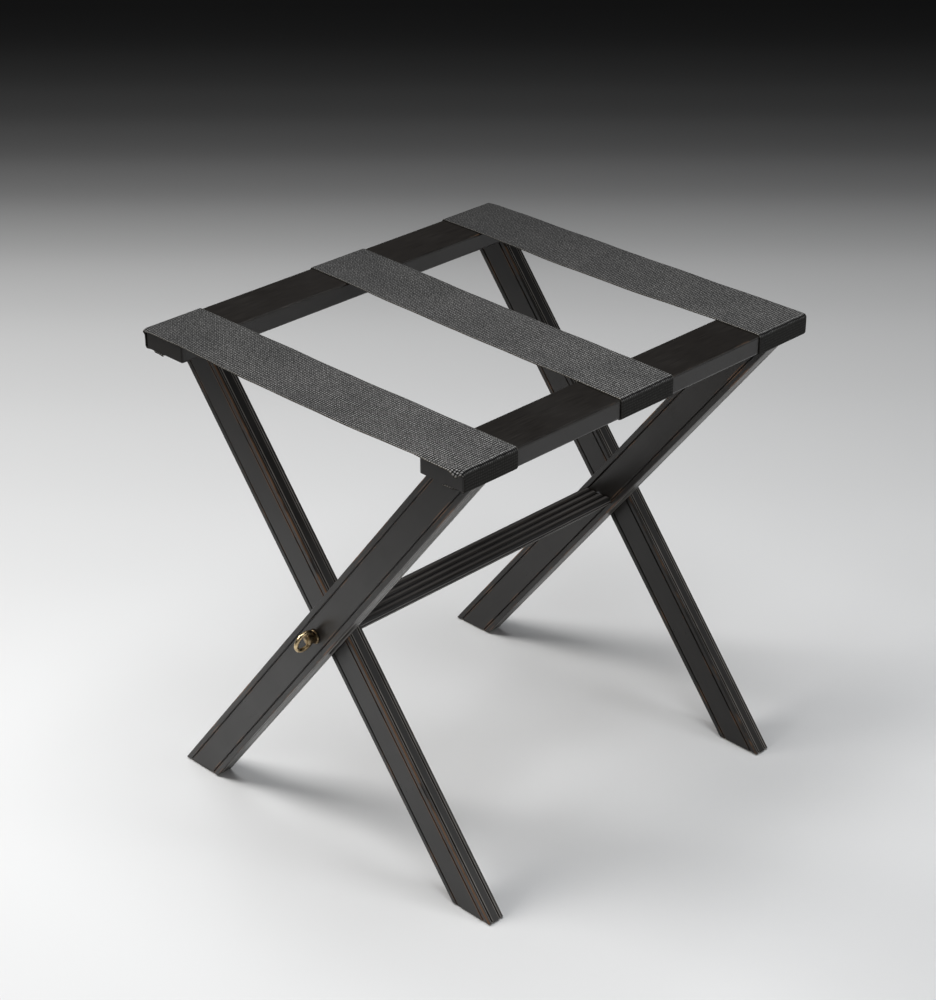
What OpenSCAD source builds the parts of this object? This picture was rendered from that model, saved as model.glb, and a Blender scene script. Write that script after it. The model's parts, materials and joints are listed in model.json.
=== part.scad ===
// Folding luggage rack: two hinged wooden frames, a reeded stretcher on the pivot line and
// three webbing straps. X runs along the straps, Y along the top rails, Z is up, and the
// origin is on the floor at the middle of the open rack. Frame B's rail is at +X and frame
// A's at -X. Each frame is the other one turned half a turn about Z.

/* [Open rack] */
// Height from the floor to the top of the straps
rack_h = 520; // [440:5:600]
// Width over both rails, without the straps
rack_w = 448; // [400:2:500]
// Half the distance between the feet, measured at the middle of each foot
foot_reach = 196; // [170:1:215]

/* [Top rails] */
// Length of a rail
rail_l = 488; // [470:1:494]
// Width of a rail
rail_w = 58; // [50:1:70]
// Thickness of a rail
rail_t = 20; // [16:1:24]
// Rounding of the long edges
rail_arris = 2.5; // [1:0.5:4]
// Rounding of the outer corners, seen from above
rail_outer_corner = 3; // [2.5:0.5:12]
// Rounding of the inner corners, seen from above
rail_inner_corner = 4; // [2:1:8]

/* [Legs] */
// Width of a leg
leg_w = 41.5; // [34:0.5:44]
// Thickness of a leg
leg_t = 20; // [17:1:21]
// Outer face of the outer legs, from the middle of the rack
leg_outer_y = 231; // [226:1:234]
// Distance of the grooves on the wide faces from the leg's edge
wide_groove_inset = 6.5; // [5:0.5:9]
// Distance of the grooves on the narrow faces from the leg's edge
narrow_groove_inset = 4.6; // [3.5:0.1:5]

/* [Grooves] */
// Width of every V groove at the surface
groove_w = 2.4; // [1.5:0.1:3]
// Depth of every V groove
groove_d = 1.3; // [0.8:0.1:1.5]
// Rounding of the wooden edges between the grooves
arris = 1.2; // [0.6:0.1:1.5]

/* [Stretcher] */
// Width of the stretcher board
stretcher_w = 40; // [34:1:46]
// Thickness of the stretcher board
stretcher_t = 9.5; // [9:0.5:14]
// Number of reeds across the stretcher
reeds = 4; // [2:2:6]

/* [Straps] */
// Width of the webbing
strap_w = 75; // [50:1:80]
// Thickness of the webbing
strap_t = 1.5; // [1:0.1:2.5]
// Length of the strap end under the rail, from the rail's outer face
strap_tail = 26; // [18:1:32]

/* [Hardware] */
// Diameter of the pivot studs
stud_d = 5; // [4:0.5:6]
// Thickness of the pivot washers
washer_t = 1.6; // [1:0.1:2]
// Outer diameter of the loops on the brass ring nuts
loop_d = 26; // [24:0.2:30]
// Thickness of the loops
loop_wire = 4.6; // [3.6:0.2:5]
// How far a ring nut stands out from the leg
nut_reach = 26.4; // [26:0.2:32]
// Tilt of the loops from upright, in degrees, towards the way the outer leg leans
loop_tilt = 13.5; // [0:0.5:45]
// Thickness of the pads under the feet
pad_t = 2; // [1:0.5:4]

/* [Hidden] */
$fn = 64;

// Heights
rail_top = rack_h - strap_t;
rail_bottom = rail_top - rail_t;
pivot_z = (pad_t + rail_bottom) / 2;
lean = atan(2 * foot_reach / (rail_bottom - pad_t));
leg_cut_w = leg_w / cos(lean);

// Positions across and along the rack
rail_x1 = rack_w / 2;
rail_x0 = rail_x1 - rail_w;
outer_leg_y = leg_outer_y - leg_t / 2;
inner_leg_y = outer_leg_y - leg_t - washer_t;
stretcher_end = inner_leg_y - leg_t / 2 - washer_t;

// Clearances: a running fit round the studs, and a slip fit round screws and tacks
stud_gap = 0.05;
slip = 0.05;

// Screws that hold each leg to its rail, set towards the side that the leg leans to
screw_r = 2.2;
screw_head_r = 4.4;
screw_head_h = 2.6;
screw_l = rail_t + 25;
screw_slot = [6, 1];
screw_x = [foot_reach - 2, foot_reach - 18];

// Tacks through the strap ends
tack_r = 0.8;
tack_l = 9;
tack_head_r = 3.2;
tack_head_h = 1.2;
tack_x = rail_x1 - strap_tail + 8;

// Centre of each strap along the rails: over rail A, then over rail B
near_strap_y = [-211, -213.5];
middle_strap_y = [14.5, 0.5];
far_strap_y = [209.5, 206.5];
strap_edge = rail_l / 2 + 7.5;
strap_corner = 8;
strap_end_edge = rail_l / 2 + 1;
strap_end_corner = rail_outer_corner + 1;

// Places of the tacks along each rail, two for each strap end, clear of the legs
tacks_a_y = [-229.5, -181, -4.5, 33.5, 193, 237.5];
tacks_b_y = [-237.5, -193, -18.5, 19.5, 179, 227];

// A notch in a strap end leaves this much room round the leg
notch_gap = 0.4;

// Stud ends: in the ring nut, and a thinner screw thread in the stretcher
stud_in_nut = 8;
stud_in_board = 32;
thread_r = 2;

// Ring nut: a base flange and a hub with a domed end, which stands a little way into the loop
flange_r = 7.8;
flange_h = 2.4;
hub_r = 5.5;
hub_h = 10;
dome_h = 2;

// Pivot washers, hidden behind the stretcher's ends
washer_r = 4.6;

wood = [0.09, 0.085, 0.08];
webbing = [0.22, 0.22, 0.22];
brass = [0.62, 0.50, 0.30];
steel = [0.55, 0.55, 0.56];
nylon = [0.80, 0.79, 0.75];

module half_turn() rotate([0, 0, 180]) children();

// A cylinder along Y between y0 and y1, on the pivot line
module pivot_cylinder(r, y0, y1) {
    translate([0, y1, pivot_z]) rotate([90, 0, 0]) cylinder(r = r, h = y1 - y0);
}

// A w by t rectangle about the origin, with rounded corners
module rounded_bar(w, t, r) {
    square([w - 2 * r, t], center = true);
    square([w, t - 2 * r], center = true);
    for (x = [-1, 1], y = [-1, 1])
        translate([x * (w / 2 - r), y * (t / 2 - r)]) circle(r);
}

// A V cut into an edge that lies on the X axis, open towards +Y
module v_groove() {
    polygon([[-groove_w / 2, 0], [0, -groove_d], [groove_w / 2, 0],
             [groove_w / 2, groove_d], [-groove_w / 2, groove_d]]);
}

// V grooves on both w wide faces, at the places xs, and on both t wide faces, at ys
module grooves(w, t, xs, ys) {
    for (x = xs, side = [0, 180])
        rotate(side) translate([x, t / 2]) v_groove();
    for (y = ys, side = [-90, 90])
        rotate(side) translate([y, w / 2]) v_groove();
}

module leg_profile() {
    x = leg_w / 2 - wide_groove_inset;
    y = leg_t / 2 - narrow_groove_inset;
    difference() {
        rounded_bar(leg_w, leg_t, arris);
        grooves(leg_w, leg_t, [-x, x], [-y, y]);
    }
}

// A leg of frame B, leaning towards +X, centred at y and cut level at both ends
module leg(y) {
    color(wood) difference() {
        intersection() {
            translate([0, y, pivot_z]) rotate([0, lean, 0])
                linear_extrude(rack_h * 1.6, center = true) leg_profile();
            translate([-rack_w, y - leg_t, pad_t])
                cube([2 * rack_w, 2 * leg_t, rail_bottom - pad_t]);
        }
        pivot_cylinder(stud_d / 2 + stud_gap, y - leg_t, y + leg_t);
        leg_screws(y, slip);
    }
}

// The two countersunk screws of the leg at y on frame B, grown by gap when they cut a hole
module leg_screws(y, gap = 0) {
    for (x = screw_x) translate([x, y, rail_top]) {
        translate([0, 0, -screw_l - gap]) cylinder(r = screw_r + gap, h = screw_l + gap);
        translate([0, 0, -screw_head_h])
            cylinder(r1 = screw_r + gap, r2 = screw_head_r + gap, h = screw_head_h);
    }
}

// The same screws with a cross slot in each head
module slotted_leg_screws(y) {
    color(steel) difference() {
        leg_screws(y);
        for (x = screw_x, turn = [0, 90])
            translate([x, y, rail_top]) rotate([0, 0, turn])
                cube([screw_slot[0], screw_slot[1], 2 * screw_slot[1]], center = true);
    }
}

// Tacks of frame B at the places ys, grown by gap when they cut a hole
module tacks(ys, gap = 0) {
    for (y = ys) translate([tack_x, y, rail_bottom - strap_t]) {
        translate([0, 0, -gap]) cylinder(r = tack_r + gap, h = tack_l + gap, $fn = 24);
        if (gap == 0) tack_head();
    }
}

// A shallow dome that hangs below the strap end
module tack_head() {
    ball_r = (tack_head_r ^ 2 + tack_head_h ^ 2) / (2 * tack_head_h);
    rotate_extrude($fn = 32) intersection() {
        translate([0, ball_r - tack_head_h]) circle(ball_r, $fn = 96);
        translate([0, -tack_head_h]) square([tack_head_r, tack_head_h]);
    }
}

// Outline of rail B from above
module rail_plan() {
    l = rail_l / 2;
    ri = rail_inner_corner;
    ro = rail_outer_corner;
    translate([rail_x0 + ri, -l]) square([rail_w - ri - ro, 2 * l]);
    translate([rail_x0, ri - l]) square([ri, 2 * (l - ri)]);
    translate([rail_x1 - ro, ro - l]) square([ro, 2 * (l - ro)]);
    for (side = [-1, 1]) {
        translate([rail_x0 + ri, side * (l - ri)]) circle(ri);
        translate([rail_x1 - ro, side * (l - ro)]) circle(ro);
    }
}

// A bar along Y with the section of rail B, grown by d on every side
module rail_bar(d, l) {
    translate([(rail_x0 + rail_x1) / 2, l / 2, rail_bottom + rail_t / 2]) rotate([90, 0, 0])
        linear_extrude(l) rounded_bar(rail_w + 2 * d, rail_t + 2 * d, rail_arris + d);
}

// Rail B, with its legs at leg_ys and its strap tacks at tack_ys
module rail(leg_ys, tack_ys) {
    color(wood) difference() {
        intersection() {
            translate([0, 0, rail_bottom]) linear_extrude(rail_t) rail_plan();
            rail_bar(0, rail_l);
        }
        for (y = leg_ys) leg_screws(y, slip);
        tacks(tack_ys, slip);
    }
}

// Outlines that the straps keep to, seen from above: on top, and round the rail's edge, where
// the webbing is pulled in to the rail's end
module strap_plan() {
    rounded_bar(rack_w + 2 * strap_t, 2 * strap_edge, strap_corner);
}

module strap_end_plan() {
    rounded_bar(rack_w + 2 * strap_t, 2 * strap_end_edge, strap_end_corner);
}

// A strap from rail to rail, centred at ys[0] over rail A and at ys[1] over rail B
module strap(ys) {
    x = rail_x1 - rail_arris;
    half = strap_w / 2;
    color(webbing) translate([0, 0, rail_top]) linear_extrude(strap_t) intersection() {
        polygon([[-x, ys[0] - half], [x, ys[1] - half], [x, ys[1] + half], [-x, ys[0] + half]]);
        strap_plan();
    }
}

// The end of a strap on rail B, centred at y: round the rail's edge, down its outer face
// and under it, with a notch for the leg at leg_y and holes for the tacks
module strap_end(y, leg_y, tack_ys) {
    half = strap_w / 2;
    x = rail_x1 - rail_arris;
    tail_x = rail_x1 - strap_tail;
    under = rail_bottom - strap_t;
    notch = leg_t + 2 * notch_gap;
    color(webbing) difference() {
        intersection() {
            rail_bar(strap_t, 2 * strap_edge);
            translate([0, 0, under]) linear_extrude(rail_t + 2 * strap_t) strap_end_plan();
            union() {
                translate([x, y - half, under])
                    cube([rail_arris + strap_t, strap_w, rail_t + 2 * strap_t]);
                translate([tail_x, y - half, under]) cube([strap_tail, strap_w, strap_t]);
            }
        }
        rail_bar(0, 2 * strap_edge + 2);
        translate([tail_x - 1, leg_y - notch / 2, under - 1])
            cube([foot_reach + leg_cut_w / 2 + notch_gap - tail_x + 1, notch, strap_t + 1]);
        tacks(tack_ys, slip);
    }
}

// A pad under the foot of a leg of frame B at y
module foot_pad(y) {
    color(nylon) translate([-foot_reach, y, 0])
        linear_extrude(pad_t) rounded_bar(leg_cut_w - 6, leg_t - 3, 4);
}

// The reeded board between the inner legs, along the pivot line
module stretcher() {
    pitch = stretcher_w / reeds;
    color(wood) difference() {
        translate([0, stretcher_end, pivot_z]) rotate([90, 0, 0])
            linear_extrude(2 * stretcher_end) difference() {
                rounded_bar(stretcher_w, stretcher_t, arris);
                grooves(stretcher_w, stretcher_t,
                        [for (i = [1:reeds - 1]) pitch * (i - reeds / 2)], [0]);
            }
        for (turn = [0, 180]) rotate([0, 0, turn])
            pivot_cylinder(thread_r + slip, -stretcher_end - 1, stud_in_board - stretcher_end);
    }
}

// The stud at the near end: through both legs, into the ring nut and the stretcher
module stud() {
    color(steel) {
        pivot_cylinder(stud_d / 2, -leg_outer_y - stud_in_nut, -stretcher_end);
        pivot_cylinder(thread_r, -stretcher_end, stud_in_board - stretcher_end);
    }
}

// The near ring nut on the outer face of the outer leg, with the stud screwed into its hub
module ring_nut() {
    color(brass) difference() {
        translate([0, -leg_outer_y, pivot_z]) rotate([90, 0, 0]) {
            nut_base();
            nut_loop();
        }
        pivot_cylinder(stud_d / 2 + slip, -leg_outer_y - stud_in_nut - slip, 1 - leg_outer_y);
    }
}

// Flange and hub, standing up along Z
module nut_base() {
    dome_ball = (hub_r ^ 2 + dome_h ^ 2) / (2 * dome_h);
    rotate_extrude() {
        square([flange_r - flange_h / 2, flange_h]);
        translate([flange_r - flange_h / 2, flange_h / 2]) circle(flange_h / 2);
        square([hub_r, hub_h]);
        intersection() {
            translate([0, hub_h + dome_h - dome_ball]) circle(dome_ball, $fn = 96);
            translate([0, hub_h - 1]) square([hub_r, dome_h + 1]);
        }
    }
}

// The loop, standing on edge across the hub
module nut_loop() {
    r = (loop_d - loop_wire) / 2;
    translate([0, 0, nut_reach - loop_d / 2]) rotate([0, 0, -loop_tilt]) rotate([0, 90, 0])
        rotate_extrude() translate([r, 0]) circle(loop_wire / 2);
}

// Washers between the legs, and between the inner leg and the stretcher, at both ends
module pivot_washers() {
    color(steel) for (turn = [0, 180], y = [stretcher_end, inner_leg_y + leg_t / 2])
        rotate([0, 0, turn]) difference() {
            pivot_cylinder(washer_r, -y - washer_t, -y);
            pivot_cylinder(stud_d / 2 + stud_gap, -y - washer_t - 1, 1 - y);
        }
}

// Places along the rails as frame A's half turn sees them
function turned(ys) = [for (y = ys) -y];

stretcher();
stud();  // stud_near
half_turn() stud();  // stud_far
ring_nut();  // ring_nut_near
half_turn() ring_nut();  // ring_nut_far
pivot_washers();

half_turn() rail([-outer_leg_y, inner_leg_y], turned(tacks_a_y));  // rail_a
half_turn() leg(inner_leg_y);  // leg_a_near
half_turn() leg(-outer_leg_y);  // leg_a_far
half_turn() for (y = [-outer_leg_y, inner_leg_y]) slotted_leg_screws(y);  // leg_screws_a
half_turn() color(brass) tacks(turned(tacks_a_y));  // strap_tacks_a
half_turn() foot_pad(inner_leg_y);  // foot_pad_a_near
half_turn() foot_pad(-outer_leg_y);  // foot_pad_a_far

rail([-outer_leg_y, inner_leg_y], tacks_b_y);  // rail_b
leg(-outer_leg_y);  // leg_b_near
leg(inner_leg_y);  // leg_b_far
for (y = [-outer_leg_y, inner_leg_y]) slotted_leg_screws(y);  // leg_screws_b
color(brass) tacks(tacks_b_y);  // strap_tacks_b
foot_pad(-outer_leg_y);  // foot_pad_b_near
foot_pad(inner_leg_y);  // foot_pad_b_far

strap(near_strap_y);  // strap_near
strap(middle_strap_y);  // strap_middle
strap(far_strap_y);  // strap_far
half_turn() strap_end(-near_strap_y[0], inner_leg_y, turned(tacks_a_y));  // strap_end_a_near
half_turn() strap_end(-middle_strap_y[0], -outer_leg_y, turned(tacks_a_y));  // strap_end_a_middle
half_turn() strap_end(-far_strap_y[0], -outer_leg_y, turned(tacks_a_y));  // strap_end_a_far
strap_end(near_strap_y[1], -outer_leg_y, tacks_b_y);  // strap_end_b_near
strap_end(middle_strap_y[1], -outer_leg_y, tacks_b_y);  // strap_end_b_middle
strap_end(far_strap_y[1], inner_leg_y, tacks_b_y);  // strap_end_b_far
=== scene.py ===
import json
import math

import bmesh
import bpy
import numpy as np
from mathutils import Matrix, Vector


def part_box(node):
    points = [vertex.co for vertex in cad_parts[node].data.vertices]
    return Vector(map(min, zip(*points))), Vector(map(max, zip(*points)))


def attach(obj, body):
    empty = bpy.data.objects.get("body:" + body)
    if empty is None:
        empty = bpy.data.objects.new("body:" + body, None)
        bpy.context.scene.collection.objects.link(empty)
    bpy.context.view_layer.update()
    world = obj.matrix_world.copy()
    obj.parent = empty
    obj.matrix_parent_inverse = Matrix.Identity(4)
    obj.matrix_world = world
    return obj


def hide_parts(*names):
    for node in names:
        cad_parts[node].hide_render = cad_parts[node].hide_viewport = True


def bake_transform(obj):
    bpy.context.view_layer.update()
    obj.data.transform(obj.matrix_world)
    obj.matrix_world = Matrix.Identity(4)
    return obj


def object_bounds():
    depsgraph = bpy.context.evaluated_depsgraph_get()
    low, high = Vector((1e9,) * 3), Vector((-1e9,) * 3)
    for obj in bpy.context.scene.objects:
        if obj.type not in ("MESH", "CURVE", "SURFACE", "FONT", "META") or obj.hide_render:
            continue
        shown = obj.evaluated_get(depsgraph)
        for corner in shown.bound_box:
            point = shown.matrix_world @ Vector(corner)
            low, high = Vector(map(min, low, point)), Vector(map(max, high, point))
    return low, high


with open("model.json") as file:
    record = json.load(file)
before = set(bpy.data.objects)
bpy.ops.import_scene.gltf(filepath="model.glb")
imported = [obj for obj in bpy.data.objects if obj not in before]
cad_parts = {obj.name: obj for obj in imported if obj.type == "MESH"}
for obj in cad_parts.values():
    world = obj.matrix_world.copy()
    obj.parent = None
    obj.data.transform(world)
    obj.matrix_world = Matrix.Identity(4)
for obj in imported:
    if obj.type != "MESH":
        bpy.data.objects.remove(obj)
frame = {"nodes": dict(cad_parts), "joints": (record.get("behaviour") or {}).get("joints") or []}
cad_lo, cad_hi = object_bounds()
node_of = frame["nodes"]

# ---------------------------------------------------------------- sizes from the frame, in metres
rail_lo, rail_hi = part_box("rail_b")
leg_lo, leg_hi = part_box("leg_b_near")
board_lo, board_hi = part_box("stretcher")
pad_lo, pad_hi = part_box("foot_pad_a_near")
inner_lo, inner_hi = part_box("leg_b_far")
joint = next(j for j in frame["joints"] if j["name"] == "fold_a")
pivot = Vector(joint["pos_m"])

RAIL_X0, RAIL_X1 = rail_lo.x, rail_hi.x
RAIL_END = rail_hi.y
RAIL_TOP, RAIL_BOTTOM = rail_hi.z, rail_lo.z
RAIL_ARRIS = 0.0025  # radius of the rail's long edges
STRAP_T = cad_hi.z - rail_hi.z
LEG_T = leg_hi.y - leg_lo.y
FOOT_X = (pad_lo.x + pad_hi.x) / 2
LEAN = math.atan(2 * FOOT_X / (leg_hi.z - leg_lo.z))
LEG_W = 2 * (leg_hi.x - FOOT_X) * math.cos(LEAN)
OUTER_LEG = -(leg_lo.y + leg_hi.y) / 2
INNER_LEG = (inner_lo.y + inner_hi.y) / 2
NUT_END = -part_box("ring_nut_near")[0].y
WIDE_INSET, NARROW_INSET = 0.0065, 0.0046  # from a leg's edge to the groove on its wide or narrow face
GROOVE_LIP = 0.0013  # from a groove's middle to its lip


# ---------------------------------------------------------------- shader helpers
class Nodes:
    """A material's node tree, with short calls for the nodes that the materials here use."""

    def __init__(self, name):
        self.mat = bpy.data.materials.new(name)
        self.mat.use_nodes = True
        self.tree = self.mat.node_tree
        self.tree.nodes.clear()
        self.out = self.tree.nodes.new("ShaderNodeOutputMaterial")
        self.bsdf = self.tree.nodes.new("ShaderNodeBsdfPrincipled")
        self.link(self.bsdf.outputs[0], self.out.inputs[0])

    def link(self, a, b):
        self.tree.links.new(a, b)

    def put(self, node, key, value):
        socket = node.inputs[key]
        if isinstance(value, bpy.types.NodeSocket):
            self.link(value, socket)
        else:
            socket.default_value = value

    def node(self, kind, **settings):
        n = self.tree.nodes.new(kind)
        for k, v in settings.items():
            setattr(n, k, v)
        return n

    def set(self, **values):
        """Sets or links the shader's own sockets, by name with _ for a space."""
        for k, v in values.items():
            self.put(self.bsdf, k.replace("_", " "), v)

    def math(self, op, a, b=0.0, c=0.0, clamp=False):
        n = self.node("ShaderNodeMath", operation=op, use_clamp=clamp)
        for i, v in enumerate((a, b, c)):
            self.put(n, i, v)
        return n.outputs[0]

    def coords(self, kind="Object"):
        return self.node("ShaderNodeTexCoord").outputs[kind]

    def mapped(self, vector, move=(0, 0, 0), turn=(0, 0, 0), scale=(1, 1, 1)):
        """vector moved by -move, then turned, then scaled."""
        shift = self.node("ShaderNodeVectorMath", operation="SUBTRACT")
        self.link(vector, shift.inputs[0])
        shift.inputs[1].default_value = move
        m = self.node("ShaderNodeMapping", vector_type="POINT")
        self.link(shift.outputs[0], m.inputs["Vector"])
        m.inputs["Rotation"].default_value = turn
        s = self.node("ShaderNodeVectorMath", operation="MULTIPLY")
        self.link(m.outputs[0], s.inputs[0])
        s.inputs[1].default_value = scale
        return s.outputs[0]

    def split(self, vector):
        n = self.node("ShaderNodeSeparateXYZ")
        self.link(vector, n.inputs[0])
        return n.outputs[0], n.outputs[1], n.outputs[2]

    def noise(self, vector, scale, detail=3.0, rough=0.55):
        n = self.node("ShaderNodeTexNoise")
        self.link(vector, n.inputs["Vector"])
        n.inputs["Scale"].default_value = scale
        n.inputs["Detail"].default_value = detail
        n.inputs["Roughness"].default_value = rough
        return n.outputs["Fac"]

    def ramp(self, value, lo, hi, to_lo=0.0, to_hi=1.0, smooth=True):
        n = self.node("ShaderNodeMapRange", interpolation_type="SMOOTHSTEP" if smooth else "LINEAR")
        self.link(value, n.inputs[0])
        for i, v in enumerate((lo, hi, to_lo, to_hi)):
            n.inputs[i + 1].default_value = v
        return n.outputs[0]

    def mix(self, fac, a, b):
        n = self.node("ShaderNodeMix", data_type="RGBA")
        self.put(n, 0, fac)
        for key, v in ((6, a), (7, b)):
            if isinstance(v, bpy.types.NodeSocket):
                self.link(v, n.inputs[key])
            else:
                n.inputs[key].default_value = (*v, 1.0)
        return n.outputs[2]

    def bump(self, height, distance, strength=1.0, normal=None):
        n = self.node("ShaderNodeBump")
        n.inputs["Distance"].default_value = distance
        n.inputs["Strength"].default_value = strength
        self.link(height, n.inputs["Height"])
        if normal is not None:
            self.link(normal, n.inputs["Normal"])
        return n.outputs[0]


def wood(
    name, centre, turn, half_w, half_t,
    wide_grooves=(), narrow_grooves=(), wear=1.0, rub=0.0, reed_w=0.0, gloss=1.0,
):
    """Black satin lacquer over wood, in the board's own axes: u across and v through it.
    The lacquer is rubbed through to brown here and there on the arrises and groove edges, and
    a grey painted highlight runs along the lips of the narrow faces' grooves. wear is how strong
    the brown is, and rub spreads it along the front outer arris. reed_w is the width of the
    board's reeds, with painted shade between them and a painted highlight on their crests,
    and gloss is its sheen."""
    m = Nodes(name)
    local = m.mapped(m.coords(), centre, turn)
    u, v, _ = m.split(local)
    fibres = m.noise(m.mapped(local, scale=(1, 1, 0.035)), 900, 4.0, 0.6)
    pores = m.noise(m.mapped(local, scale=(1, 1, 0.05)), 2300, 2.0, 0.5)
    cloud = m.noise(local, 14, 3.0, 0.5)
    patch = m.noise(m.mapped(local, scale=(1, 1, 0.35)), 60, 4.0, 0.62)
    speck = m.noise(local, 620, 2.0, 0.6)

    du = m.math("SUBTRACT", half_w, m.math("ABSOLUTE", u))
    dv = m.math("SUBTRACT", half_t, m.math("ABSOLUTE", v))
    edge = m.ramp(m.math("MAXIMUM", du, dv), 0.0006, 0.0019, 1.0, 0.0)
    bright = None
    for offsets, across, depth in ((wide_grooves, u, dv), (narrow_grooves, v, du)):
        for o in offsets:
            d = m.math("ABSOLUTE", m.math("SUBTRACT", m.math("ABSOLUTE", across), o))
            from_lip = m.math("ABSOLUTE", m.math("SUBTRACT", d, GROOVE_LIP))
            lip = m.ramp(from_lip, 0.0002, 0.0007, 0.8, 0.0)
            lip = m.math("MULTIPLY", lip, m.ramp(depth, 0.0003, 0.0007, 1.0, 0.0))
            if across is v:
                bright = m.math("MAXIMUM", bright, lip) if bright else lip
            else:
                edge = m.math("MAXIMUM", edge, lip)
    front = m.math("MULTIPLY", m.ramp(u, 0.0, half_w), m.ramp(v, -half_t, 0.0, 1.0, 0.0))
    rub_patch = m.math("ADD", patch, m.math("MULTIPLY", front, rub))
    rubbed = m.math("MULTIPLY", edge, m.ramp(rub_patch, 0.52, 0.68))
    rubbed = m.math("MULTIPLY", rubbed, wear, clamp=True)
    worn = m.math("MULTIPLY", edge, m.ramp(patch, 0.38, 0.62))

    base = m.mix(m.ramp(fibres, 0.35, 0.7), (0.0080, 0.0067, 0.0057), (0.0138, 0.0116, 0.0098))
    base = m.mix(m.math("MULTIPLY", worn, 0.35), base, (0.040, 0.033, 0.026))
    base = m.mix(m.ramp(speck, 0.72, 0.80, 0.0, 0.5), base, (0.045, 0.042, 0.038))
    # painted highlight: a grey line along the lips of the narrow faces' grooves, where their walls catch
    # the light
    if bright:
        bright = m.math("MULTIPLY", bright, m.ramp(patch, 0.25, 0.6, 0.35, 1.0))
        base = m.mix(bright, base, (0.27, 0.25, 0.23))
    base = m.mix(rubbed, base, (0.150, 0.074, 0.034))
    rough = m.math("ADD", m.ramp(cloud, 0.3, 0.7, 0.30, 0.40), m.ramp(fibres, 0.3, 0.7, -0.03, 0.05))
    rough = m.math("ADD", rough, m.math("MULTIPLY", worn, 0.10))
    normal = m.bump(fibres, 0.00012, 0.55)
    normal = m.bump(pores, 0.00005, 0.5, normal)
    normal = m.bump(cloud, 0.0009, 0.35, normal)
    if reed_w:
        crest = m.math("ABSOLUTE", m.math("SINE", m.math("MULTIPLY", u, math.pi / reed_w)))
        crest = m.math("POWER", crest, 0.6)
        # painted shade in the hollows between the reeds
        base = m.mix(m.ramp(crest, 0.25, 0.75, 0.85, 0.0), base, (0.002, 0.002, 0.002))
        # painted highlight along the reeds' crests
        base = m.mix(m.ramp(crest, 0.84, 0.99, 0.0, 0.75), base, (0.062, 0.057, 0.054))
    m.set(Base_Color=base, Roughness=rough, Normal=normal)
    m.bsdf.inputs["IOR"].default_value = 1.5
    m.bsdf.inputs["Specular IOR Level"].default_value = 0.5 * gloss
    m.bsdf.inputs["Coat Weight"].default_value = 0.10
    m.bsdf.inputs["Coat Roughness"].default_value = 0.28
    return m.mat


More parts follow.
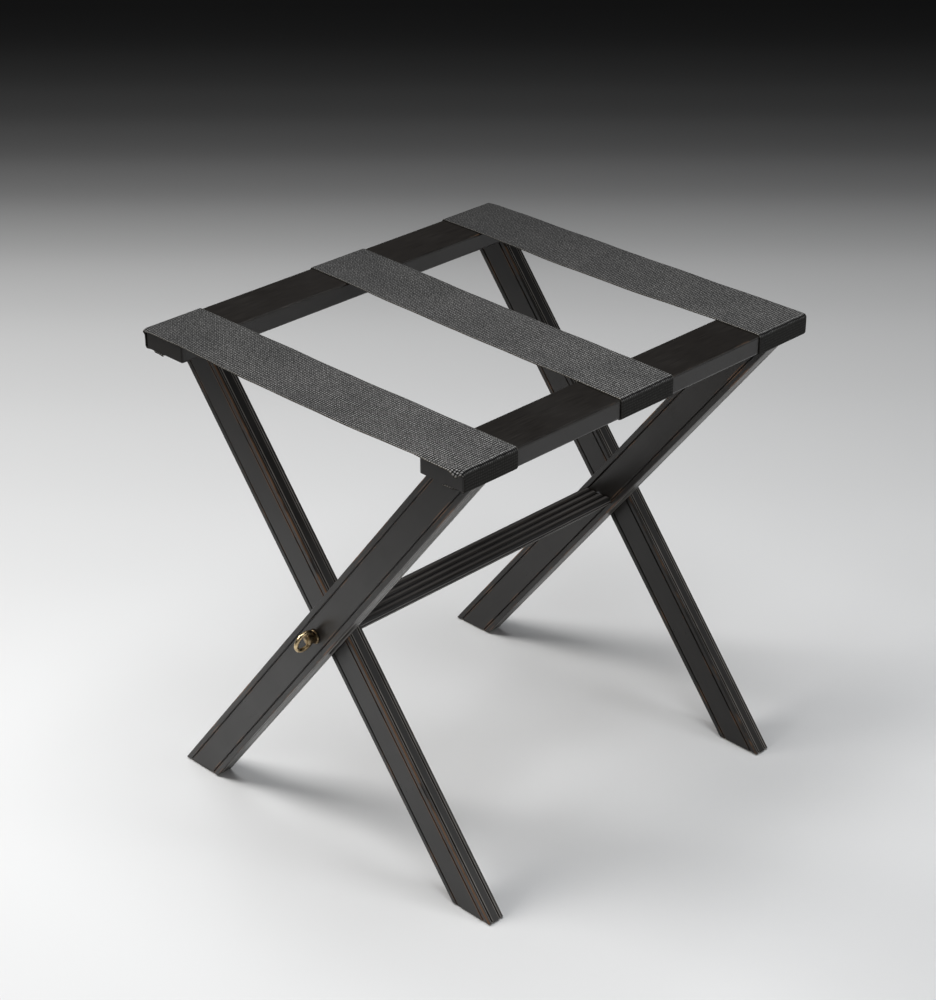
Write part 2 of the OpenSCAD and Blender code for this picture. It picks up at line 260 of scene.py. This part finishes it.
def webbing():
    """Charcoal webbing: cross ribs broken into dots by the warp, with a darker body, paler
    crowns and a beige thread in each selvedge. Painted shade makes it darker where it does
    not face up, where its weave is also flatter, and painted shade darkens it towards rail A
    and the far end. UV is in metres."""
    warp_pitch, weft_pitch = 0.0047, 0.0058
    m = Nodes("webbing")
    uv = m.coords("UV")
    u, v, _ = m.split(uv)
    wander = m.noise(m.coords(), 55, 2.0)
    jitter = m.noise(m.coords(), 420, 2.0)
    drift = m.math("MULTIPLY", m.math("SUBTRACT", wander, 0.5), 0.0016)
    drift = m.math("ADD", drift, m.math("MULTIPLY", m.math("SUBTRACT", jitter, 0.5), 0.0011))
    warp = m.math("MULTIPLY", m.math("ADD", u, drift), 2 * math.pi / warp_pitch)
    weft = m.math("MULTIPLY", m.math("ADD", v, drift), 2 * math.pi / weft_pitch)
    plain = m.math("MULTIPLY", m.math("SINE", warp), m.math("SINE", weft))
    crown = m.ramp(m.math("ABSOLUTE", plain), 0.24, 0.80)
    over = m.ramp(plain, -0.3, 0.3, 0.80, 1.0)
    rib = m.ramp(m.math("ABSOLUTE", m.math("SINE", weft)), 0.15, 0.9)
    height = m.math("ADD", m.math("MULTIPLY", crown, 0.7), m.math("MULTIPLY", rib, 0.5))

    fuzz = m.noise(m.coords(), 2600, 2.0, 0.6)
    stain = m.noise(m.coords(), 22, 4.0, 0.6)
    slub = m.noise(m.mapped(uv, scale=(0.35, 1, 1)), 620, 2.0, 0.5)
    worn = m.ramp(slub, 0.3, 0.7, 0.45, 1.15)
    body = m.mix(rib, (0.004, 0.004, 0.004), (0.011, 0.011, 0.011))
    light = m.mix(m.ramp(stain, 0.3, 0.7), (0.260, 0.257, 0.253), (0.350, 0.344, 0.336))
    share = m.math("MULTIPLY", m.math("MULTIPLY", crown, over), worn, clamp=True)
    colour = m.mix(share, body, light)
    colour = m.mix(m.ramp(fuzz, 0.62, 0.78, 0.0, 0.25), colour, (0.20, 0.195, 0.185))
    edge = m.math("ABSOLUTE", u)
    selvedge = m.math("MULTIPLY", m.ramp(edge, 0.0362, 0.0370), m.ramp(slub, 0.42, 0.62, 0.05, 0.60))
    colour = m.mix(selvedge, colour, (0.215, 0.190, 0.150))
    upward = m.split(m.node("ShaderNodeNewGeometry").outputs["True Normal"])[2]
    # painted shade: darker where the webbing does not face up
    colour = m.mix(m.ramp(upward, 0.15, 0.85, 0.92, 0.0), colour, (0.0145, 0.0140, 0.0125))
    height = m.math("MULTIPLY", height, m.ramp(upward, 0.15, 0.85, 0.12, 1.0))
    x, y, _ = m.split(m.coords())
    # painted shade: darker towards rail A and towards the far end
    shade_towards_a = m.ramp(x, -0.24, 0.20, 0.50, 0.0, smooth=False)
    shade_towards_far = m.ramp(y, -0.1, 0.25, 0.0, 0.28, smooth=False)
    colour = m.mix(m.math("ADD", shade_towards_a, shade_towards_far), colour, (0.012, 0.012, 0.012))

    m.set(
        Base_Color=colour,
        Roughness=m.ramp(fuzz, 0.3, 0.7, 0.80, 0.95),
        Normal=m.bump(fuzz, 0.0002, 0.5, m.bump(height, 0.0006, 0.9)),
    )
    m.bsdf.inputs["Specular IOR Level"].default_value = 0.15
    m.bsdf.inputs["Sheen Weight"].default_value = 0.05
    m.bsdf.inputs["Sheen Roughness"].default_value = 0.5
    return m.mat


def brass():
    """Old brass: satin, dark brown where it is not rubbed, and brighter along the loop's
    outside, where it is handled."""
    m = Nodes("brass")
    local = m.mapped(m.coords(), pivot)
    _, y, _ = m.split(local)
    tarnish = m.noise(local, 260, 4.0, 0.6)
    spots = m.noise(local, 900, 2.0, 0.5)
    scratches = m.noise(m.mapped(local, scale=(0.3, 3, 0.3)), 1400, 2.0, 0.5)
    handled = m.ramp(m.math("ABSOLUTE", y), NUT_END - 0.022, NUT_END - 0.008)
    unhandled = m.ramp(handled, 0.0, 1.0, 1.0, 0.06)
    dull = m.math("MULTIPLY", unhandled, m.ramp(tarnish, 0.3, 0.6, 0.65, 1.0))
    base = m.mix(m.ramp(tarnish, 0.35, 0.68), (0.72, 0.57, 0.34), (0.55, 0.41, 0.23))
    base = m.mix(dull, base, (0.070, 0.046, 0.025))
    specks = m.math("MULTIPLY", m.ramp(spots, 0.66, 0.76, 0.0, 0.6), m.ramp(handled, 0.0, 1.0, 1.0, 0.0))
    base = m.mix(specks, base, (0.06, 0.04, 0.025))
    m.set(
        Base_Color=base,
        Roughness=m.math("ADD", m.ramp(tarnish, 0.3, 0.7, 0.22, 0.34), m.math("MULTIPLY", dull, 0.12)),
        Normal=m.bump(scratches, 0.00005, 0.35, m.bump(tarnish, 0.00010, 0.3)),
    )
    m.bsdf.inputs["Metallic"].default_value = 1.0
    return m.mat


def steel():
    m = Nodes("steel")
    fine = m.noise(m.mapped(m.coords(), scale=(1, 1, 4)), 1200, 3.0)
    m.set(
        Base_Color=m.mix(m.ramp(fine, 0.35, 0.7), (0.30, 0.30, 0.31), (0.52, 0.52, 0.53)),
        Roughness=m.ramp(fine, 0.3, 0.7, 0.28, 0.42),
        Normal=m.bump(fine, 0.00005, 0.5),
    )
    m.bsdf.inputs["Metallic"].default_value = 1.0
    return m.mat


def nylon():
    m = Nodes("nylon")
    dirt = m.noise(m.coords(), 180, 4.0, 0.6)
    grain = m.noise(m.coords(), 2200, 2.0)
    m.set(
        Base_Color=m.mix(m.ramp(dirt, 0.4, 0.7), (0.62, 0.60, 0.55), (0.40, 0.38, 0.34)),
        Roughness=m.ramp(dirt, 0.3, 0.7, 0.45, 0.62),
        Normal=m.bump(grain, 0.00008, 0.5),
    )
    m.bsdf.inputs["Subsurface Weight"].default_value = 0.08
    return m.mat


def finished(mesh, name, material):
    """Makes a bmesh into an object of the scene, and frees it."""
    data = bpy.data.meshes.new(name)
    mesh.to_mesh(data)
    mesh.free()
    data.materials.append(material)
    piece = bpy.data.objects.new(name, data)
    bpy.context.scene.collection.objects.link(piece)
    return piece


def assign(node, material):
    mesh = node_of[node].data
    if not mesh.materials:
        mesh.materials.append(material)
    for i in range(len(mesh.materials)):
        mesh.materials[i] = material


# ---------------------------------------------------------------- wood, metal and plastic nodes
rail_mid_x, rail_mid_z = (RAIL_X0 + RAIL_X1) / 2, (RAIL_TOP + RAIL_BOTTOM) / 2
rail_w, rail_t = RAIL_X1 - RAIL_X0, RAIL_TOP - RAIL_BOTTOM
wide_groove, narrow_groove = LEG_W / 2 - WIDE_INSET, LEG_T / 2 - NARROW_INSET
LEG_RUB = {"leg_a_near": 0.2}
# the far legs' sheen is turned down so that they look darker: painted shade
LEG_GLOSS = {"leg_a_far": 0.62, "leg_b_far": 0.78}
LENGTHWISE = (math.pi / 2, 0, 0)  # turns a board that lies along Y onto the wood's own axes
for side, tag in ((-1, "a"), (1, "b")):
    turn = (0, -side * LEAN, 0)
    for end in ("near", "far"):
        leg = f"leg_{tag}_{end}"
        lo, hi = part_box(leg)
        leg_wood = wood(
            f"wood_{leg}", (0, (lo.y + hi.y) / 2, pivot.z), turn, LEG_W / 2, LEG_T / 2,
            [wide_groove], [narrow_groove], rub=LEG_RUB.get(leg, 0.0), gloss=LEG_GLOSS.get(leg, 1.0),
        )
        assign(leg, leg_wood)
    # the shift along Y gives each rail its own part of the grain
    rail_middle = (side * rail_mid_x, 0.3 * side, rail_mid_z)
    rail_wood = wood(f"wood_rail_{tag}", rail_middle, LENGTHWISE, rail_w / 2, rail_t / 2, wear=0.8)
    assign(f"rail_{tag}", rail_wood)
board_w, board_t = board_hi.x - board_lo.x, board_hi.z - board_lo.z
REEDS, SIDE_REEDS = 4, 2
REED_DEPTH, SIDE_REED_DEPTH = 0.0020, 0.0010
REED_STEPS = 12
reed_w = (board_w - 2 * SIDE_REED_DEPTH) / REEDS
board_wood = wood(
    "wood_stretcher", (0, 0, pivot.z), LENGTHWISE, board_w / 2, board_t / 2,
    [0.0, reed_w], [0.0], wear=0.5, reed_w=reed_w,
)
assign("stretcher", board_wood)


def reeded_side(width, count, depth, height):
    """Points across one side of the board, as (across, up, whether it is a sharp edge), from
    +width / 2 to -width / 2: count round reeds, depth deep, with their crests at height. The
    last reed's last point belongs to the next side."""
    points = []
    for i in range(count):
        middle = width / 2 - (i + 0.5) * width / count
        for k in range(REED_STEPS):
            t = math.cos(math.pi * k / REED_STEPS)
            up = height - depth * (1 - math.sqrt(1 - t * t))
            points.append((middle + t * width / count / 2, up, k == 0))
    return points


def reeded_board(name, material):
    """The stretcher with round reeds on its wide faces and two on each narrow one."""
    profile = []
    for quarter in range(4):
        wide = quarter % 2 == 0
        if wide:
            side_points = reeded_side(board_w - 2 * SIDE_REED_DEPTH, REEDS, REED_DEPTH, board_t / 2)
        else:
            side_points = reeded_side(board_t - 2 * REED_DEPTH, SIDE_REEDS, SIDE_REED_DEPTH, board_w / 2)
        a = quarter * math.pi / 2
        for across, up, sharp in side_points:
            x = across * math.cos(a) - up * math.sin(a)
            z = across * math.sin(a) + up * math.cos(a)
            profile.append((x, z, sharp))
    mesh = bmesh.new()
    near, far = [
        [mesh.verts.new((x, y, pivot.z + z)) for x, z, _ in profile] for y in (board_lo.y, board_hi.y)
    ]
    for i in range(len(profile)):
        j = (i + 1) % len(profile)
        strip = mesh.faces.new((near[i], near[j], far[j], far[i]))
        strip.smooth = True
    for i, (_, _, sharp) in enumerate(profile):
        mesh.edges.get((near[i], far[i])).smooth = not sharp
    for ends in (near, far):
        mesh.faces.new(ends)
        for i in range(len(profile)):
            mesh.edges.get((ends[i], ends[(i + 1) % len(profile)])).smooth = False
    bmesh.ops.recalc_face_normals(mesh, faces=mesh.faces)
    piece = finished(mesh, name, material)
    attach(piece, "pivot")
    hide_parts("stretcher")


reeded_board("reeded_stretcher", board_wood)

old_brass = brass()
plain_steel, plain_nylon = steel(), nylon()
for tag in "ab":
    assign(f"strap_tacks_{tag}", old_brass)
    assign(f"leg_screws_{tag}", plain_steel)
    for end in ("near", "far"):
        assign(f"foot_pad_{tag}_{end}", plain_nylon)
for end in ("near", "far"):
    assign(f"ring_nut_{end}", old_brass)
    assign(f"stud_{end}", plain_steel)
assign("pivot_washers", plain_steel)


# ---------------------------------------------------------------- straps
STRAP_HALF = 0.0375
# where each strap's middle lies on rail A and on rail B
STRAP_Y = {"near": (-0.211, -0.2135), "middle": (0.0145, 0.0005), "far": (0.2095, 0.2065)}
SELVEDGE = 0.0012  # width of the rounded edge
UNDER = 12  # stations under the rail
DRAWN_IN = RAIL_END + 0.0006  # where an overhanging edge comes to, below the rail's top
CLEAR = 0.0006  # between a strap's tail and the leg
SAG = 0.0008
EDGE_SAG = {"near": 0.0022, "middle": 0.0006, "far": 0.0018}  # added at the nearer edge
LOOSE_CORNER, TIGHT_CORNER = 0.0065, 0.0025  # how far an outer corner droops
SEED = {"near": 3, "middle": 8, "far": 13}


def wave(x, y, seed):
    """A small smooth wander, the same on both sides of the middle of the rack."""
    return (
        math.sin(x * 31 + seed * 1.7) * math.sin(y * 47 + seed)
        + 0.6 * math.sin(x * 73 + y * 39 + seed * 2.9)
    )


def smooth(t):
    t = max(0.0, min(1.0, t))
    return t * t * (3 - 2 * t)


def strap_path(tail_x):
    """Stations along the strap's inner face, as (x, z, outward x, outward z, length). It runs
    from the middle of the rack over the rail's top, round and down its outer face, and back
    under the rail. The last UNDER stations lie under the rail."""
    r = RAIL_ARRIS
    cx, top, low = RAIL_X1 - r, RAIL_TOP - r, RAIL_BOTTOM + r
    points, total = [], 0.0

    def add(x, z, nx, nz):
        nonlocal total
        if points:
            total += math.hypot(x - points[-1][0], z - points[-1][1])
        points.append((x, z, nx, nz, total))

    for x in list(np.linspace(0, cx - 0.024, 52)) + list(np.linspace(cx - 0.023, cx, 20)):
        add(x, RAIL_TOP, 0, 1)
    for i in range(1, 9):
        a = math.pi / 2 * (1 - i / 8)
        add(cx + r * math.cos(a), top + r * math.sin(a), math.cos(a), math.sin(a))
    for i in range(1, 8):
        add(RAIL_X1, top + (low - top) * i / 8, 1, 0)
    for i in range(9):
        a = -math.pi / 2 * i / 8
        add(cx + r * math.cos(a), low + r * math.sin(a), math.cos(a), math.sin(a))
    for i in range(1, UNDER + 1):
        add(cx + (tail_x - cx) * i / UNDER, RAIL_BOTTOM, 0, -1)
    return points


def reach(full, x, nz, past_top):
    """How far along the rail an overhanging edge reaches, full being its reach where it is
    free. It curves in towards the outer edge, and is drawn in to the rail's end below that."""
    inset = RAIL_X1 - x
    if past_top <= 0:
        share = max(0.0, min(1.0, (0.012 - inset) / 0.0095))
        return full - max(0.0, full - RAIL_END - 0.0035) * (1 - math.sqrt(1 - share * share))
    if nz > -0.5:
        return DRAWN_IN + 0.0029 * (1 - smooth(past_top / 0.009))
    return DRAWN_IN - 0.0020 * smooth((inset - 0.001) / 0.003) + 0.0024 * smooth((inset - 0.009) / 0.006)


def corner_droop(x, y, past_top, depth):
    """How far webbing that overhangs the rail's end hangs below the rail's top, depth being how
    far it hangs at the outer corner."""
    over = abs(y) - RAIL_END + 0.001
    if over <= 0:
        return 0.0
    depth = 0.0010 * smooth((x - RAIL_X0) / 0.02) + depth * smooth((0.014 - RAIL_X1 + x) / 0.0115)
    return depth * (over / 0.0075) ** 1.3 * max(0.0, 1 - past_top / 0.018)


def strap_columns(cuts):
    """The mesh's places across a strap, from selvedge to selvedge, with one at each cut."""
    flat = STRAP_HALF - SELVEDGE
    across = [round(t, 6) for t in np.linspace(-flat, flat, 37)]
    across = [t for t in across if min(abs(t - c) for c in cuts) > 0.0006]
    across = sorted(across + [c for c in cuts if abs(c) < STRAP_HALF - 0.002])
    return [-STRAP_HALF, -STRAP_HALF + 0.0004] + across + [STRAP_HALF - 0.0004, STRAP_HALF]


def stitch(mesh, outer, inner, facts, present, side):
    """Fills the faces of a closed sheet between its grids of outer and inner points. present
    says which cells the sheet has, and facts holds each point's UV."""
    uv = mesh.loops.layers.uv["weave"]

    def face(corners, where, wall=False):
        if side < 0:
            corners, where = corners[::-1], where[::-1]
        f = mesh.faces.new(corners)
        f.smooth = True
        for loop, w in zip(f.loops, where):
            loop[uv].uv = (w[0], side * w[1])
            if wall:
                loop.edge.smooth = False

    rows, cols = len(outer) - 1, len(outer[0]) - 1
    cells = {(k, i) for k in range(rows) for i in range(cols) if present(k, i)}
    for k, i in sorted(cells):
        f00, f10, f11, f01 = facts[k][i], facts[k + 1][i], facts[k + 1][i + 1], facts[k][i + 1]
        face([outer[k][i], outer[k + 1][i], outer[k + 1][i + 1], outer[k][i + 1]], [f00, f10, f11, f01])
        face([inner[k][i + 1], inner[k + 1][i + 1], inner[k + 1][i], inner[k][i]], [f01, f11, f10, f00])
    for k, i in sorted(cells):
        for (dk, di), (a, b) in (
            ((-1, 0), ((k, i + 1), (k, i))),
            ((1, 0), ((k + 1, i), (k + 1, i + 1))),
            ((0, -1), ((k, i), (k + 1, i))),
            ((0, 1), ((k + 1, i + 1), (k, i + 1))),
        ):
            if (k + dk, i + di) not in cells:
                pa, pb = facts[a[0]][a[1]], facts[b[0]][b[1]]
                corners = [outer[b[0]][b[1]], outer[a[0]][a[1]], inner[a[0]][a[1]], inner[b[0]][b[1]]]
                face(corners, [pb, pa, pa, pb], wall=dk != 0)
    bmesh.ops.delete(mesh, geom=[v for v in mesh.verts if not v.link_faces], context="VERTS")
    bmesh.ops.recalc_face_normals(mesh, faces=mesh.faces)


def strap_half(name, side, y_here, y_there, leg_y, material):
    """One half of a strap, from the middle of the rack to its tail under one rail, as a closed
    sheet with rounded selvedges, and a notch in the tail where the leg meets the rail."""
    place = name.split("_")[1]
    seed = SEED[place]
    end_lo, end_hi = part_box(f"strap_end_{name[-1]}_{place}")
    tail_x = end_lo.x if side > 0 else -end_hi.x
    path = strap_path(tail_x)
    notch = LEG_T / 2 + CLEAR
    notch_x = FOOT_X + LEG_W / math.cos(LEAN) / 2 + CLEAR
    cuts = [round(leg_y - y_here - notch, 6), round(leg_y - y_here + notch, 6)]
    across = strap_columns(cuts)
    corner = LOOSE_CORNER if (place, side) == ("near", 1) else TIGHT_CORNER

    mesh = bmesh.new()
    mesh.loops.layers.uv.new("weave")
    inner, outer, facts = [], [], []
    first_under = len(path) - UNDER
    top_length = max(length for _, _, _, nz, length in path if nz == 1)
    tied = RAIL_END - 0.010
    for k, (x, z, nx, nz, length) in enumerate(path):
        row_in, row_out, row_f = [], [], []
        yc = (y_here + y_there) / 2 + (y_here - y_there) / 2 * min(1.0, x / RAIL_X1)
        free = max(0.0, 1 - (x / (RAIL_X0 - 0.002)) ** 2) if nz > 0.99 else 0.0
        past_top = length - top_length
        full = abs(yc) + STRAP_HALF
        limit = reach(full, x, nz, past_top)
        for t in across:
            y = yc + t
            if abs(y) > tied and full > limit:
                y = math.copysign(tied + (abs(y) - tied) * (limit - tied) / (full - tied), y)
            edge = max(0.0, (abs(t) - (STRAP_HALF - SELVEDGE)) / SELVEDGE)
            thick = STRAP_T * (1 - 0.72 * edge * edge)
            lift = STRAP_T * 0.36 * edge * edge
            drop = free * (SAG + EDGE_SAG[place] * ((STRAP_HALF - t) / (2 * STRAP_HALF)) ** 2)
            lift += min(1.0, free * 3) * 0.0003 * wave(x, y, seed) - drop
            hem = 0.0
            if k >= first_under:
                hem = max(0.0, 1 - (x - tail_x) / 0.0045)
                lift += 0.00015 + 0.0010 * hem * (0.6 + 0.4 * math.sin(y * 900 + seed))
            shift = hem * (0.0012 * math.sin(y * 1300 + seed * 3) + 0.0005 * math.sin(y * 3100))
            low = z
            if x > RAIL_X0 and k < first_under:
                low -= corner_droop(x, y, max(0.0, past_top), corner)
            for row, out in ((row_in, lift), (row_out, lift + thick)):
                row.append(mesh.verts.new((side * (x + shift + nx * out), y, low + nz * out)))
            row_f.append((t, length))
        inner.append(row_in)
        outer.append(row_out)
        facts.append(row_f)

    def present(k, i):
        if k < first_under - 1 or (path[k][0] + path[k + 1][0]) / 2 > notch_x:
            return True
        return not cuts[0] < (across[i] + across[i + 1]) / 2 < cuts[1]

    stitch(mesh, outer, inner, facts, present, side)
    piece = finished(mesh, name, material)
    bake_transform(piece)
    return piece


web = webbing()
for place, (y_a, y_b) in STRAP_Y.items():
    leg_a = -INNER_LEG if place == "near" else OUTER_LEG
    leg_b = INNER_LEG if place == "far" else -OUTER_LEG
    half_a = strap_half(f"webbing_{place}_a", -1, y_a, y_b, leg_a, web)
    half_b = strap_half(f"webbing_{place}_b", 1, y_b, y_a, leg_b, web)
    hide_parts(f"strap_end_a_{place}")
    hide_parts(f"strap_{place}", f"strap_end_b_{place}")


# ---------------------------------------------------------------- stage, lights and camera
FLOOR_FADE = (
    (-0.4, 0.78), (0.0, 0.81), (0.35, 0.735), (0.6, 0.69), (0.9, 0.64), (1.2, 0.57), (1.45, 0.44),
    (1.7, 0.25), (1.92, 0.135), (2.14, 0.074), (2.35, 0.045), (2.6, 0.021), (2.9, 0.010),
)  # painted shade: the floor's grey at each distance behind the rack's middle, falling to black as the light falls off
BACK_X, BACK_Y = 0.7057, 0.7085  # how far back a point lies is BACK_Y * y - BACK_X * x
VIEW_SLOPE, VIEW_DISTANCE = 0.884, 2.62  # its distance along the camera's view, from how far back it is
LEAST_DISTANCE = 1.7


def floor_material():
    """Pale studio floor with painted shade: it falls away to black well behind the rack and well to its
    left.
    """
    m = Nodes("floor")
    x, y, _ = m.split(m.coords())
    depth = m.math("SUBTRACT", m.math("MULTIPLY", y, BACK_Y), m.math("MULTIPLY", x, BACK_X))
    fade = m.node("ShaderNodeValToRGB")
    fade.color_ramp.interpolation = "CARDINAL"
    near, far = FLOOR_FADE[0][0], FLOOR_FADE[-1][0]
    m.link(m.ramp(depth, near, far, smooth=False), fade.inputs[0])
    aside = m.math("ADD", m.math("MULTIPLY", x, BACK_Y), m.math("MULTIPLY", y, BACK_X))
    distance = m.math("ADD", m.math("MULTIPLY", depth, VIEW_SLOPE), VIEW_DISTANCE)
    distance = m.math("MAXIMUM", distance, LEAST_DISTANCE)
    # painted shade: the floor darkens well to the left of the view
    left_shade = m.ramp(m.math("DIVIDE", aside, distance), -0.52, -0.19, 0.88, 0.0)
    stops = fade.color_ramp.elements
    while len(stops) < len(FLOOR_FADE):
        stops.new(0.5)
    for stop, (at, grey) in zip(stops, FLOOR_FADE):
        stop.position = (at - near) / (far - near)
        stop.color = (grey, grey * 1.002, grey * 1.006, 1)
    m.set(Base_Color=m.mix(left_shade, fade.outputs[0], (0.02, 0.02, 0.02)))
    m.bsdf.inputs["Roughness"].default_value = 0.6
    m.bsdf.inputs["Specular IOR Level"].default_value = 0.2
    return m.mat


floor_grid = bmesh.new()
bmesh.ops.create_grid(floor_grid, x_segments=8, y_segments=8, size=9)
finished(floor_grid, "floor", floor_material())


def area_light(name, at, aim, size, power, colour):
    data = bpy.data.lights.new(name, "AREA")
    data.shape = "RECTANGLE"
    data.size, data.size_y = size
    data.energy = power
    data.color = colour
    light = bpy.data.objects.new(name, data)
    light.location = at
    light.rotation_euler = (Vector(aim) - Vector(at)).to_track_quat("-Z", "Y").to_euler()
    bpy.context.scene.collection.objects.link(light)


WARM, COOL = (1.0, 0.985, 0.96), (0.97, 0.985, 1.0)
area_light("key", (-1.9, -1.5, 2.3), (0, 0, 0.2), (1.3, 1.1), 62, WARM)
area_light("front", (0.2, -2.6, 1.9), (0, 0, 0.25), (1.6, 1.0), 6, WARM)
area_light("back", (2.3, 2.3, 1.5), (0, 0, 0.3), (2.2, 1.4), 7, COOL)
area_light("side", (2.4, 0.5, 0.8), (0.3, 0, 0.2), (1.6, 0.9), 8, (1.0, 0.985, 0.97))
area_light("top", (0.1, -0.2, 2.9), (0, 0, 0), (1.8, 1.8), 60, COOL)

world = bpy.data.worlds.new("world")
bpy.context.scene.world = world
world.use_nodes = True
background = world.node_tree.nodes["Background"]
background.inputs["Color"].default_value = (0.93, 0.96, 1.0, 1)
background.inputs["Strength"].default_value = 0.03

camera_data = bpy.data.cameras.new("camera")
camera_data.lens = 85.415
camera_data.sensor_width = 36
camera_data.clip_start, camera_data.clip_end = 0.05, 60
camera = bpy.data.objects.new("camera", camera_data)
camera.location = (1.5338, -1.5543, 1.4727)
camera.rotation_euler = [math.radians(turn) for turn in (62.0963, 0.1672, 44.7951)]
bpy.context.scene.collection.objects.link(camera)
bpy.context.scene.camera = camera
bpy.context.scene.view_settings.view_transform = "Standard"
bpy.context.scene.view_settings.look = "None"
